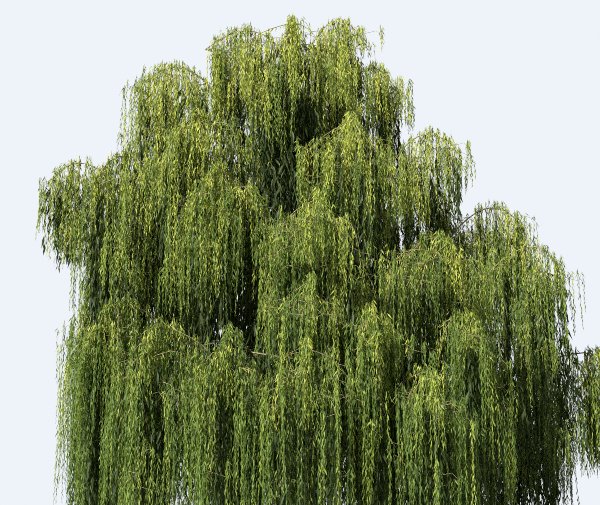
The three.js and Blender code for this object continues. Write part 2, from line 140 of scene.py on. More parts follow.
# %% The masses: azimuth, reach, crest, width, drop and, last, the neighbour that lends its bough
Mass = namedtuple("Mass", "name limb azimuth reach crest width drop beside", defaults=[None])
MASSES = [
    Mass("top_left", "leader", -84, 1.85, 16.75, 5.1, 4.4),
    Mass("top_right", "leader", 95, 1.15, 17.25, 3.0, 4.7, "top_left"),
    Mass("top_front", "leader", -8, 2.5, 16.05, 4.3, 6.0),
    Mass("top_back", "leader", 176, 2.9, 15.4, 4.6, 5.2),
    Mass("upper_left", "leader", -88, 4.2, 15.5, 4.7, 5.1),
    Mass("upper_right", "leader", 84, 2.2, 15.45, 2.8, 4.8, "right_shoulder"),
    Mass("right_shoulder", "leader", 76, 3.95, 12.95, 3.3, 3.2),
    Mass("front_upper_left", "front_limb", -41, 4.5, 12.7, 3.9, 4.8),
    Mass("front_upper_right", "leader", 18, 3.9, 12.5, 4.1, 4.8),
    Mass("left_wing", "left_limb", -90, 7.25, 12.3, 3.1, 3.6),
    Mass("left_middle", "left_limb", -64, 5.9, 11.75, 3.7, 6.0),
    Mass("centre_left", "front_limb", -27, 5.1, 10.8, 3.6, 5.8),
    Mass("centre", "front_limb", 3, 5.8, 9.6, 4.1, 5.2),
    Mass("right_middle", "right_limb", 38, 5.6, 8.8, 4.3, 4.8),
    Mass("right_outer", "right_limb", 86, 5.95, 10.7, 3.5, 4.8),
    Mass("left_skirt", "left_limb", -92, 6.15, 8.6, 3.4, 8.0, "left_low"),
    Mass("left_low", "left_limb", -54, 6.3, 7.1, 3.0, 6.6),
    Mass("front_left", "front_limb", -31, 7.0, 6.1, 3.4, 5.7),
    Mass("front_middle", "front_limb", 1, 7.1, 7.1, 3.5, 5.0),
    Mass("front_low", "front_limb", -13, 7.8, 5.7, 3.1, 5.3),
    Mass("centre_low", "front_limb", 0, 8.5, 5.2, 2.9, 4.8, "front_low"),
    Mass("front_right", "front_limb", 12, 7.5, 6.3, 2.9, 5.9, "front_middle"),
    Mass("right_low", "right_limb", 20, 8.2, 4.7, 3.1, 4.3),
    Mass("right_fall", "right_limb", 35, 7.0, 6.4, 3.0, 5.9),
    Mass("right_hem", "right_limb", 68, 7.15, 8.95, 2.8, 4.9, "right_fall"),
    Mass("far_right", "right_limb", 76, 8.4, 5.9, 2.8, 3.6),
    Mass("back", "back_limb", 176, 5.4, 11.6, 5.4, 6.4),
    Mass("back_right", "back_limb", 130, 5.4, 12.0, 5.3, 6.4),
    Mass("back_left", "back_limb", -126, 5.4, 12.2, 5.3, 6.8),
    Mass("back_low_right", "right_limb", 112, 7.2, 7.2, 4.9, 6.8),
    Mass("back_low", "back_limb", 153, 7.3, 6.5, 4.6, 6.1),
    Mass("back_low_middle", "back_limb", -165, 7.2, 6.9, 4.6, 6.5, "back_low"),
    Mass("back_low_left", "left_limb", -127, 7.0, 7.3, 4.6, 6.9),
]
FOLIAGE_NODES = [f"{mass.name}_foliage" for mass in MASSES]
print(len(LIMBS), "main limbs and", len(MASSES), "masses")

# %% Helpers of the rule
UP = np.array([0.0, 0.0, 1.0])
STREAM_FACTOR = 1664525
STREAM_STEP = 1013904223
STREAM_SIZE = 2**32


def seeded(seed):
    """An endless stream of numbers from 0 to 1 that is the same for the same seed."""
    state = seed
    while True:
        state = (state * STREAM_FACTOR + STREAM_STEP) % STREAM_SIZE
        yield state / STREAM_SIZE


def between(ends, share):
    return ends[0] + (ends[1] - ends[0]) * share


def unit(vector):
    return vector / np.linalg.norm(vector)


def outward(azimuth):
    angle = math.radians(azimuth)
    return np.array([math.sin(angle), -math.cos(angle), 0.0])


def bend(start, pull, end, steps):
    """A smooth bend from start to end, as steps + 1 points."""
    t = np.linspace(0, 1, steps + 1)[:, None]
    return (1 - t) ** 2 * start + 2 * t * (1 - t) * pull + t**2 * end


def point_along(path, share):
    place = share * (len(path) - 1)
    index = min(int(place), len(path) - 2)
    return path[index] + (path[index + 1] - path[index]) * (place - index)


def taper(root, tip, steps):
    return between((root, tip), (np.arange(steps + 1) / steps) ** TAPER_POWER)


# %% The trunk, the limbs and the boughs as lines with a thickness
def trunk_centre(height):
    share = height / TRUNK_HEIGHT
    return np.array([TRUNK_LEAN[0] * share**2, TRUNK_LEAN[1] * share**2, height])


def stem_path(mass):
    """The stem of a mass: in at the trunk's side, over the crest and down a little."""
    half = mass.width / 2
    climb = math.atan2(mass.crest - TRUNK_HEIGHT, mass.reach)
    inner = -STEM_INNER_SHARE * half
    outer = STEM_OUTER_SHARE * half
    rise = -inner * math.tan(STEM_SLOPE_SHARE * climb)
    fall = STEM_FALL_SHARE * mass.drop
    top = math.sqrt(rise) / (math.sqrt(rise) + math.sqrt(fall))
    middle = -((1 - top) ** 2 * inner + top**2 * outer) / (2 * top * (1 - top))

    def place(distance, height):
        level = mass.crest - STEM_RADIUS + height
        return outward(mass.azimuth) * (mass.reach + distance) + UP * level

    ends = place(inner, -rise), place(middle, math.sqrt(rise * fall)), place(outer, -fall)
    return bend(*ends, STEM_STEPS)


def limb_path(start, mass, steps, random):
    """A limb that climbs from start and eases into the stem of its mass."""
    stem = stem_path(mass)
    length = np.linalg.norm(stem[0] - start)
    pull = stem[0] - unit(stem[1] - stem[0]) * ARCH_PULL * length
    path = bend(start, pull, stem[0], steps)
    for index in range(1, steps):
        sway = LIMB_SWAY * length * math.sin(math.pi * index / steps)
        path[index, 0] += sway * (2 * next(random) - 1)
        path[index, 1] += sway * (2 * next(random) - 1)
    return path


def bough_line(mass, parent, random):
    """The bough of a mass, from a joint of its main limb to the foot of its stem."""
    path, radii = parent
    height = between((path[0, 2], stem_path(mass)[0, 2]), BOUGH_LEAVES_AT)
    above = np.flatnonzero(path[:, 2] > height)
    joint = above[0] if len(above) else len(path) - 2
    joint = min(max(joint, BOUGH_FIRST_JOINT), len(path) - 2)
    line = limb_path(path[joint], mass, BOUGH_STEPS, random)
    return line, taper(BOUGH_ROOT_SHARE * radii[joint], BOUGH_TIP_RADIUS, BOUGH_STEPS)


MASS_NAMED = {mass.name: mass for mass in MASSES}
random = seeded(SEED)
limb_lines = {}
for limb in LIMBS:
    line = limb_path(trunk_centre(limb.height), MASS_NAMED[limb.tip], LIMB_STEPS, random)
    limb_lines[limb.name] = line, taper(limb.radius, LIMB_TIP_RADIUS, LIMB_STEPS)
bough_lines = {}
for mass in MASSES:
    if not mass.beside and mass.name not in [limb.tip for limb in LIMBS]:
        bough_lines[f"{mass.name}_bough"] = bough_line(mass, limb_lines[mass.limb], random)
print(len(limb_lines), "limbs and", len(bough_lines), "boughs")

# %% [markdown]
# ## How a line becomes wood
#
# Limbs, boughs and twigs are all the same thing at different sizes: a round section
# carried along a path. Curve to Mesh does that, so one Geometry Nodes tree makes all this
# wood. It reads a thickness that is stored on every point of the line, sets rings at an
# even spacing, and pushes the skin in and out by a stretched noise for the bark's ridges.
# Sculpting would look as good on one limb, but nobody can sculpt thousands of twigs.

# %% Helpers for node trees
def new_tree(name, inputs):
    """An empty Geometry Nodes tree with a geometry in and out and the named inputs."""
    tree = bpy.data.node_groups.new(name, "GeometryNodeTree")
    tree.interface.new_socket("Geometry", in_out="INPUT", socket_type="NodeSocketGeometry")
    tree.interface.new_socket("Geometry", in_out="OUTPUT", socket_type="NodeSocketGeometry")
    for title, kind in inputs.items():
        tree.interface.new_socket(title, in_out="INPUT", socket_type=f"NodeSocket{kind}")
    return tree, tree.nodes.new("NodeGroupInput").outputs


def add(tree, kind, sockets=None, **settings):
    """A node with its settings, and each named or numbered socket set or linked."""
    node = tree.nodes.new(kind)
    for key, value in settings.items():
        setattr(node, key, value)
    for key, value in (sockets or {}).items():
        if isinstance(value, bpy.types.NodeSocket):
            tree.links.new(value, node.inputs[key])
        else:
            node.inputs[key].default_value = value
    return node


def maths(tree, operation, *values):
    sockets = dict(enumerate(values))
    return add(tree, "ShaderNodeMath", sockets, operation=operation).outputs[0]


def vectors(tree, operation, *values):
    sockets = dict(enumerate(values))
    return add(tree, "ShaderNodeVectorMath", sockets, operation=operation).outputs[0]


def scaled(tree, vector, factor):
    sockets = {0: vector, "Scale": factor}
    return add(tree, "ShaderNodeVectorMath", sockets, operation="SCALE").outputs[0]


def finish_tree(tree, geometry, material):
    """Every tree ends the same way: real geometry, then its material."""
    real = add(tree, "GeometryNodeRealizeInstances", {"Geometry": geometry})
    sockets = {"Geometry": real.outputs[0], "Material": material}
    painted = add(tree, "GeometryNodeSetMaterial", sockets)
    add(tree, "NodeGroupOutput", {0: painted.outputs[0]})


def round_section(tree, sides):
    """A circle of the given number of sides and a radius of one, for a line to carry."""
    circle = {"Resolution": sides, "Radius": 1.0}
    return add(tree, "GeometryNodeCurvePrimitiveCircle", circle).outputs[0]


def stored_thickness(tree):
    return add(tree, "GeometryNodeInputNamedAttribute", {"Name": "thickness"}).outputs[0]


# %% Bark relief, as nodes that push a skin along its normals
RIDGE_FOLD = 0.08


def relief(tree, geometry, depth, scale, stretch):
    """Ridges from a noise drawn out upwards and folded. The push is level, so a cut stays flat."""
    place = add(tree, "GeometryNodeInputPosition").outputs[0]
    drawn = vectors(tree, "MULTIPLY", place, (1, 1, stretch))
    noise = add(tree, "ShaderNodeTexNoise", {"Vector": drawn, "Scale": scale, "Detail": 2.0})
    ridge = maths(tree, "PINGPONG", noise.outputs["Fac"], RIDGE_FOLD)
    height = maths(tree, "MULTIPLY_ADD", ridge, 2 / RIDGE_FOLD, -1.0)
    level = vectors(tree, "MULTIPLY", add(tree, "GeometryNodeInputNormal").outputs[0], (1, 1, 0))
    push = scaled(tree, level, maths(tree, "MULTIPLY", height, depth))
    return add(tree, "GeometryNodeSetPosition", {"Geometry": geometry, "Offset": push}).outputs[0]


# %% The wood tree
WOOD_STRETCH = 0.3


def wood_tree():
    tree, given = new_tree("wood along lines", {
        "Sides": "Int", "Ring Spacing": "Float", "Relief Depth": "Float",
        "Relief Scale": "Float", "Material": "Material",
    })
    curve = add(tree, "GeometryNodeMeshToCurve", {0: given["Geometry"]}).outputs[0]
    smoothed = add(tree, "GeometryNodeCurveSplineType", {0: curve}, spline_type="CATMULL_ROM")
    rings = {"Curve": smoothed.outputs[0], "Length": given["Ring Spacing"]}
    curve = add(tree, "GeometryNodeResampleCurve", rings, mode="LENGTH").outputs[0]
    tube = add(tree, "GeometryNodeCurveToMesh", {
        "Curve": curve, "Profile Curve": round_section(tree, given["Sides"]),
        "Scale": stored_thickness(tree), "Fill Caps": True,
    })
    depth, scale = given["Relief Depth"], given["Relief Scale"]
    bark = relief(tree, tube.outputs[0], depth, scale, WOOD_STRETCH)
    smooth = add(tree, "GeometryNodeSetShadeSmooth", {0: bark}).outputs[0]
    finish_tree(tree, smooth, given["Material"])
    return tree


WOOD = wood_tree()
print("wood tree of", len(WOOD.nodes), "nodes")

# %% From lines to an object, and from nodes to a plain mesh
def line_object(name, lines):
    """One object that holds every line as a chain of edges, with its thickness on the points."""
    points = np.concatenate([path for path, radii in lines])
    radii = np.concatenate([radii for path, radii in lines])
    lengths = [len(path) for path, radii in lines]
    first = np.arange(len(points) - 1)
    edges = np.delete(np.stack([first, first + 1], 1), np.cumsum(lengths)[:-1] - 1, axis=0)
    mesh = bpy.data.meshes.new(name)
    mesh.vertices.add(len(points))
    mesh.vertices.foreach_set("co", points.astype(np.float32).ravel())
    mesh.edges.add(len(edges))
    mesh.edges.foreach_set("vertices", edges.astype(np.int32).ravel())
    thickness = mesh.attributes.new("thickness", "FLOAT", "POINT")
    thickness.data.foreach_set("value", radii.astype(np.float32))
    mesh.update()
    return new_object(name, mesh)


def new_object(name, mesh):
    thing = bpy.data.objects.new(name, mesh)
    bpy.context.collection.objects.link(thing)
    return thing


def grown(thing, tree, **values):
    """Runs a tree on an object once and keeps the result as the object's own plain mesh."""
    modifier = thing.modifiers.new(tree.name, "NODES")
    modifier.node_group = tree
    titles = {title.replace("_", " "): value for title, value in values.items()}
    for socket in tree.interface.items_tree:
        if socket.in_out == "INPUT" and socket.name in titles:
            modifier[socket.identifier] = titles[socket.name]
    solid = thing.evaluated_get(bpy.context.evaluated_depsgraph_get())
    mesh = bpy.data.meshes.new_from_object(solid)
    thing.modifiers.remove(modifier)
    thing.data = mesh
    mesh.calc_loop_triangles()
    print(f"{thing.name}: {len(mesh.loop_triangles)} triangles")
    return thing


# %% [markdown]
# ## Bark
#
# Old willow bark is grey-brown and split into long, crossing ridges, with pale flaking
# crests and dark furrows. The big ridges are real relief in the mesh. The colour follows
# a noise that is drawn out upwards like they are, and a finer bump adds the cracks. The
# pattern reads Object coordinates, so it stays on the wood when the wood moves. Twigs
# are smoother and yellower and this year's shoots are green, so the same function makes
# them with other numbers.

# %% Bark materials
FURROWS_UP_TO = 0.36
RIDGES_FROM = 0.64
CRACK_DEPTH = 0.02


def new_material(name):
    material = bpy.data.materials.new(name)
    material.use_nodes = True
    material.node_tree.nodes.clear()
    return material, material.node_tree


def bark_material(name, furrow, ridge, scale, stretch, bump):
    """Wood skin with dark furrows and paler ridges, drawn out along the height."""
    material, tree = new_material(name)
    place = add(tree, "ShaderNodeTexCoord").outputs["Object"]
    drawn = add(tree, "ShaderNodeMapping", {"Vector": place, "Scale": (1, 1, stretch)}).outputs[0]
    noise = {"Vector": drawn, "Scale": scale, "Detail": 6.0, "Roughness": 0.62}
    pattern = add(tree, "ShaderNodeTexNoise", noise).outputs["Fac"]
    colours = add(tree, "ShaderNodeValToRGB", {"Fac": pattern})
    colours.color_ramp.elements[0].position = FURROWS_UP_TO
    colours.color_ramp.elements[0].color = (*furrow, 1)
    colours.color_ramp.elements[1].position = RIDGES_FROM
    colours.color_ramp.elements[1].color = (*ridge, 1)
    relief_height = {"Height": pattern, "Strength": bump, "Distance": CRACK_DEPTH}
    shader = add(tree, "ShaderNodeBsdfPrincipled", {
        "Base Color": colours.outputs[0], "Roughness": 0.9,
        "Normal": add(tree, "ShaderNodeBump", relief_height).outputs[0],
    })
    add(tree, "ShaderNodeOutputMaterial", {"Surface": shader.outputs[0]})
    return material


OLD_BARK = bark_material("old furrowed bark", furrow=(0.035, 0.026, 0.018),
                         ridge=(0.2, 0.165, 0.12), scale=14, stretch=0.25, bump=0.8)
LIMB_BARK = bark_material("limb bark", furrow=(0.05, 0.038, 0.022),
                          ridge=(0.19, 0.155, 0.09), scale=22, stretch=0.35, bump=0.6)
TWIG_BARK = bark_material("yellow twig bark", furrow=(0.12, 0.1, 0.05),
                          ridge=(0.34, 0.29, 0.15), scale=30, stretch=0.5, bump=0.3)
SHOOT_BARK = bark_material("green shoot bark", furrow=(0.08, 0.11, 0.025),
                           ridge=(0.2, 0.25, 0.06), scale=30, stretch=0.5, bump=0.2)
print("barks:", ", ".join(bark.name for bark in (OLD_BARK, LIMB_BARK, TWIG_BARK, SHOOT_BARK)))

# %% [markdown]
# ## Trunk
#
# The trunk is short. It leans a little, tapers from the ground to the fork and spreads
# into six blunt root swellings at the foot. A lathe would make it too even, so it is a
# stack of rings whose radius depends on both the height and the angle. The rings close
# in a low dome between the limbs, and the foot is one flat cut on the ground.

# %% The trunk's rings
TRUNK_SIDES = 120
TRUNK_RINGS = 56
RINGS_LOW_POWER = 1.15
CROTCH_FROM = 2.82


def trunk_radius(height, angle):
    column = between((TRUNK_FOOT_RADIUS, TRUNK_TOP_RADIUS), height / TRUNK_HEIGHT)
    flare = FLARE_REACH * np.exp(-height / FLARE_HEIGHT)
    roots = 1 + FLARE_ROOT_SHARE * np.cos(FLARE_ROOTS * angle + np.sin(2 * angle))
    return column + flare * roots


def trunk_mesh():
    levels = TRUNK_HEIGHT * np.linspace(0, 1, TRUNK_RINGS) ** RINGS_LOW_POWER
    angles = np.linspace(0, 2 * math.pi, TRUNK_SIDES, endpoint=False)
    height, angle = np.meshgrid(levels, angles, indexing="ij")
    above = np.clip((height - CROTCH_FROM) / (TRUNK_HEIGHT - CROTCH_FROM), 0, 1)
    radius = trunk_radius(height, angle) * np.sqrt(1 - above**2)
    lean = (height / TRUNK_HEIGHT) ** 2
    points = np.stack([
        TRUNK_LEAN[0] * lean + radius * np.cos(angle),
        TRUNK_LEAN[1] * lean + radius * np.sin(angle),
        height,
    ], -1)[:-1].reshape(-1, 3)
    side = np.arange(TRUNK_SIDES)
    ahead = (side + 1) % TRUNK_SIDES
    faces = [[int(v) for v in side[::-1]]]
    for ring in range(TRUNK_RINGS - 2):
        low = ring * TRUNK_SIDES
        high = low + TRUNK_SIDES
        faces += np.stack([low + side, low + ahead, high + ahead, high + side], 1).tolist()
    crown = len(points)
    last = (TRUNK_RINGS - 2) * TRUNK_SIDES
    faces += [[last + int(a), last + int(b), crown] for a, b in zip(side, ahead)]
    mesh = bpy.data.meshes.new("trunk_bark")
    mesh.from_pydata([*points.tolist(), trunk_centre(TRUNK_HEIGHT).tolist()], [], faces)
    return mesh


# %% The trunk's relief
TRUNK_STRETCH = 0.22


def trunk_tree():
    tree, given = new_tree("trunk bark", {
        "Relief Depth": "Float", "Relief Scale": "Float", "Material": "Material",
    })
    depth, scale = given["Relief Depth"], given["Relief Scale"]
    bark = relief(tree, given["Geometry"], depth, scale, TRUNK_STRETCH)
    smooth = add(tree, "GeometryNodeSetShadeSmooth", {0: bark}).outputs[0]
    finish_tree(tree, smooth, given["Material"])
    return tree


trunk = grown(new_object("trunk_bark", trunk_mesh()), trunk_tree(),
              Relief_Depth=0.02, Relief_Scale=7.0, Material=OLD_BARK)
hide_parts("trunk")
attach(trunk, "root")

# %% [markdown]
# ## Limbs and boughs
#
# The limbs carry the same lines as the solid tree, so the dressed wood lies where the
# solid wood lies. They only get rounder, with rings close enough for the bark to show. A
# curve object with a bevel would sweep them as well, but its skin would stay smooth.

# %% Limbs and boughs as pieces
limbs = grown(line_object("limb_bark", list(limb_lines.values())), WOOD,
              Sides=16, Ring_Spacing=0.16, Relief_Depth=0.012, Relief_Scale=9.0,
              Material=LIMB_BARK)
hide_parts(*limb_lines)
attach(limbs, "root")
boughs = grown(line_object("bough_wood", list(bough_lines.values())), WOOD,
               Sides=9, Ring_Spacing=0.22, Relief_Depth=0.006, Relief_Scale=14.0,
               Material=LIMB_BARK)
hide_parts(*bough_lines)
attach(boughs, "root")

# %% [markdown]
# ## Stems and twigs inside a mass
#
# Where a bough enters its mass it goes on as a stem that arches over the crest, and then
# as a pole down the middle. Twigs leave the stem to both sides and bend over the dome, as
# in the solid tree, and lower twigs leave the pole, so the foliage hangs in tiers. Each
# twig carries a few side twigs that rise and arch over to all sides, like the water of a
# small fountain. Points could be scattered on a dome instead, but wood that starts on
# other wood keeps every leaf joined to the trunk.

# %% Keeping a mass to its own space
SPACE_EDGE = 1.05
SPACE_GAP = 0.05
SPACE_MARGIN = 0.35
LOWEST_TIP = 0.25
AXES = np.array([outward(mass.azimuth)[:2] * mass.reach for mass in MASSES])
HALVES = np.array([mass.width / 2 for mass in MASSES])
CRESTS = np.array([mass.crest for mass in MASSES])
HEMS = np.array([mass.crest - mass.drop for mass in MASSES])
BOX_ROOM = 0.15
BOX_LOW = np.array(solid_bounds[0]) - BOX_ROOM
BOX_HIGH = np.array(solid_bounds[1]) + BOX_ROOM
print("nothing grows past", BOX_LOW.round(2), "or", BOX_HIGH.round(2))


def in_space(mass, points, room):
    """True where all points are in the solid tree's box and in the mass's own drum, nearer
    its axis than that of any other mass at their height."""
    if (points < BOX_LOW).any() or (points > BOX_HIGH).any():
        return False
    home = MASSES.index(mass)
    off = np.linalg.norm(points[:, None, :2] - AXES, axis=2) / HALVES
    own = off[:, home]
    height = points[:, 2:]
    free = (height > CRESTS + SPACE_MARGIN) | (height < HEMS - SPACE_MARGIN)
    free |= off > (own + (SPACE_GAP + room) / HALVES[home])[:, None]
    free[:, home] = True
    return own.max() <= SPACE_EDGE and points[:, 2].min() >= LOWEST_TIP and free.all()


# %% Twigs
STEM_THINNER = 0.5
TWIG_RADIUS = 0.014
TWIG_TIP_RADIUS = 0.005
TWIG_STEPS = 5
TWIGS_PER_METRE = 2.0
TWIG_ROOTS = (0.05, 0.98)
TWIG_REACH = (0.1, 0.86)
TWIG_REACH_POWER = 0.7
TIER_REACH = (0.5, 0.85)
TWIG_GIVE = 0.5
TWIG_TURN = 1.6
TWIG_SHOULDER = 0.95
TWIG_LIFT = 0.45
TWIG_STAGGER = 1.4
TWIG_STAGGER_POWER = 1.5
TWIG_FALLS = (0.35, 1.3)
TWIGS_OUTWARD = 0.9
DOME_SHARE = 0.33
DOME_OUTWARD = 0.6
POLE_SHARE = 0.15
POLE_DROP_SHARE = 0.72
POLE_STEPS = 4
TIERS_PER_SQUARE_METRE = 0.42
TIER_TURN = 2.4
TIER_RISE = (0.1, 0.5)
TIER_FALL = (0.1, 0.6)
TIER_CLEAR = 0.5
RIM_RISE = 0.42
HIGH_HEM = 2.5
GOLDEN_SHARE = 0.618
TRIES = 20


def hem_at(mass, point):
    """The height of the hem below a point. A hem high above the ground rises outwards."""
    hem = mass.crest - mass.drop
    if hem > HIGH_HEM:
        rim = (point @ outward(mass.azimuth) - mass.reach) / (mass.width / 2)
        hem += RIM_RISE * mass.drop * max(rim, 0)
    return hem


def twig_path(mass, stem, share, side, spread, give, random):
    """A twig that bends from the stem over the dome and runs down its flank."""
    half = mass.width / 2
    turn = side * math.pi * (1 - share) + TWIG_TURN * (next(random) - 0.5)
    reach = half * between(TWIG_REACH, spread**TWIG_REACH_POWER) * (1 - give)
    out = outward(mass.azimuth)
    shift = out * math.cos(turn) + np.cross(UP, out) * math.sin(turn)
    foot = out * mass.reach + shift * reach
    start = point_along(stem, between(TWIG_ROOTS, share))
    shoulder = start + (foot - start) * TWIG_SHOULDER
    dome = DOME_SHARE * half * (reach / half) ** 2 * (1 + DOME_OUTWARD * math.cos(turn))
    shoulder[2] = min(mass.crest - dome, start[2] + TWIG_LIFT * reach)
    shoulder[2] -= TWIG_STAGGER * half * next(random) ** TWIG_STAGGER_POWER
    foot[2] = shoulder[2] - between(TWIG_FALLS, next(random))
    return bend(start, shoulder, foot, TWIG_STEPS)


def pole_path(mass):
    """The stem's end goes on downwards through the middle of the mass."""
    end = stem_path(mass)[-1]
    middle = outward(mass.azimuth) * (mass.reach + POLE_SHARE * mass.width / 2)
    foot = middle + UP * (mass.crest - POLE_DROP_SHARE * mass.drop)
    return bend(end, middle + UP * end[2], foot, POLE_STEPS)


def tier_path(mass, pole, share, spread, random):
    """A twig that leaves the pole lower down, rises a little and arches over to the flank."""
    half = mass.width / 2
    start = point_along(pole, share)
    turn = TIER_TURN * (2 * spread - 1) + TWIG_TURN * (next(random) - 0.5)
    out = outward(mass.azimuth)
    shift = out * math.cos(turn) + np.cross(UP, out) * math.sin(turn)
    foot = out * mass.reach + shift * half * between(TIER_REACH, next(random))
    shoulder = start + (foot - start) * TWIG_SHOULDER
    shoulder[2] = start[2] + between(TIER_RISE, next(random)) * half
    foot[2] = max(start[2] - between(TIER_FALL, next(random)) * half, LOWEST_TIP + TIER_CLEAR)
    return bend(start, shoulder, foot, TWIG_STEPS)


def mass_twigs(mass, random):
    """The twigs of a mass: first those of its stem, then the tiers on its pole."""
    stem = stem_path(mass)
    pole = pole_path(mass)
    count = round(TWIGS_PER_METRE * mass.width)
    tiers = round(TIERS_PER_SQUARE_METRE * mass.width * mass.drop)
    twigs = []
    for index in range(count + tiers):
        side = 1 if index % 2 == 0 else -1
        spread = (index + 1) * GOLDEN_SHARE % 1
        for attempt in range(TRIES):
            if index < count:
                share = ((index + next(random)) / count) ** TWIGS_OUTWARD
                give = TWIG_GIVE * attempt / TRIES
                twig = twig_path(mass, stem, share, side, spread, give, random)
            else:
                share = (index - count + next(random)) / tiers
                twig = tier_path(mass, pole, share, spread, random)
            low = twig[-1, 2] < hem_at(mass, twig[-1]) + TIER_CLEAR
            if in_space(mass, twig[2:], 0) and not low:
                twigs.append(twig)
                break
    return twigs


# %% Side twigs, which make each twig's end the head of a small fountain
SIDE_TWIGS = 5
SIDE_TWIG_RADIUS = 0.007
SIDE_TWIG_TIP_RADIUS = 0.003
SIDE_TWIG_ROOTS = (0.4, 1.0)
SIDE_TWIG_REACH = (0.18, 0.45)
SIDE_TWIG_SHOULDER = 0.8
SIDE_TWIG_RISE = 0.35
SIDE_TWIG_FALL = 0.3
SIDE_TWIG_STEPS = 3


def side_twig_path(mass, twig, turn, random):
    """A short twig that leaves another one, rises a little and arches over to any side."""
    root = point_along(twig, between(SIDE_TWIG_ROOTS, next(random)))
    reach = between(SIDE_TWIG_REACH, next(random)) * mass.width / 2
    over = np.array([math.cos(turn), math.sin(turn), 0]) * reach
    pull = root + SIDE_TWIG_SHOULDER * over + UP * SIDE_TWIG_RISE * reach
    return bend(root, pull, root + over - UP * SIDE_TWIG_FALL * reach, SIDE_TWIG_STEPS)


def side_twigs(mass, twig, random):
    """The side twigs of one twig, evenly round it. One that leaves the space is tried again."""
    paths = []
    for index in range(SIDE_TWIGS):
        for attempt in range(TRIES):
            turn = 2 * math.pi * (index + next(random)) / SIDE_TWIGS
            path = side_twig_path(mass, twig, turn, random)
            if in_space(mass, path, 0):
                paths.append(path)
                break
    return paths


# %% Stems, from the tip of a bough or from beside it
def stem_line(mass):
    """The stem as a line. Where the mass has no bough, it starts on its neighbour's."""
    stem = stem_path(mass)
    if mass.beside:
        homes = {limb.tip: limb_lines[limb.name] for limb in LIMBS}
        home = homes.get(mass.beside) or bough_lines[f"{mass.beside}_bough"]
        stem = np.vstack([point_along(home[0], BESIDE_AT), stem])
    return stem, taper(STEM_RADIUS, STEM_TIP_RADIUS, len(stem) - 1)


mass_streams = {mass: seeded(SEED + SEED_STEP * (index + 1)) for index, mass in enumerate(MASSES)}
twigs_of = {mass: mass_twigs(mass, mass_streams[mass]) for mass in MASSES}
heads_of = {
    mass: [[twig, *side_twigs(mass, twig, mass_streams[mass])] for twig in twigs]
    for mass, twigs in twigs_of.items()
}
twig_radii = taper(TWIG_RADIUS, TWIG_TIP_RADIUS, TWIG_STEPS)
twig_lines = [(twig, twig_radii) for twigs in twigs_of.values() for twig in twigs]
side_radii = taper(SIDE_TWIG_RADIUS, SIDE_TWIG_TIP_RADIUS, SIDE_TWIG_STEPS)
sides = [side for heads in heads_of.values() for twig, *around in heads for side in around]
side_lines = [(side, side_radii) for side in sides]
pole_radii = taper(STEM_TIP_RADIUS, TWIG_TIP_RADIUS, POLE_STEPS)
pole_lines = [(pole_path(mass), pole_radii) for mass in MASSES]
stem_lines = [(path, STEM_THINNER * radii) for path, radii in map(stem_line, MASSES)]
fine_lines = stem_lines + pole_lines + twig_lines + side_lines
wood = grown(line_object("stems_and_twigs", fine_lines), WOOD,
             Sides=4, Ring_Spacing=0.3, Relief_Depth=0.0, Relief_Scale=14.0,
             Material=TWIG_BARK)
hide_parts(*FOLIAGE_NODES)
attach(wood, "root")
print(len(twig_lines), "twigs and", len(side_lines), "side twigs on", len(MASSES), "stems")

# %% [markdown]
# ## Hanging shoots
#
# The shoots make the tree. Long ones leave a side twig, arch over under their own weight
# and hang close together, so every side twig ends in a column. Young ones are short and
# yellower, as young leaves are, and sit along each twig and along the stem. Their greens
# are also paler, as painted light that gives every crest its bright cap. A hair system
# would give this in a moment, but its strands are not geometry that can be handed on. So
# each shoot is a line from a rule. It is tested against the space of its mass and tried
# again, a little shorter each time, until it fits.

# %% One shoot
COLUMN_ROOTS = (0.5, 1.0)
YOUNG_ROOTS = (0.05, 1.0)
SHOOT_ROOT_POWER = 0.7
SHOOT_NEAR_ROOT = 0.45
SHOOT_REACH = (0.02, 0.15)
SHOOT_LIFT = (0.05, 0.4)
SHOOT_DROP = 0.9
SHOOT_SHOULDER = 0.8
SHOOT_RISE = 0.25
SHOOT_AWAY = 0.8
SHOOT_LENGTHS = (0.45, 1.0)
SHOOT_SHORTEST = 0.3
SHOOT_GIVE = 0.8
SHOOT_LONGEST = 5.4
HIGH_SHOOT_LONGEST = 2.3
LONGEST_CHANCE = (0.6, 1.0)
HIGH_FROM = 9.0
HIGH_TO = 15.0
SHOOT_SWAY = 0.07
SHOOT_ROOM = 0.06
SHOOT_RADIUS = 0.0055
SHOOT_TIP_RADIUS = 0.0022
ARCH_STEPS = 2
HANG_STEPS = 1


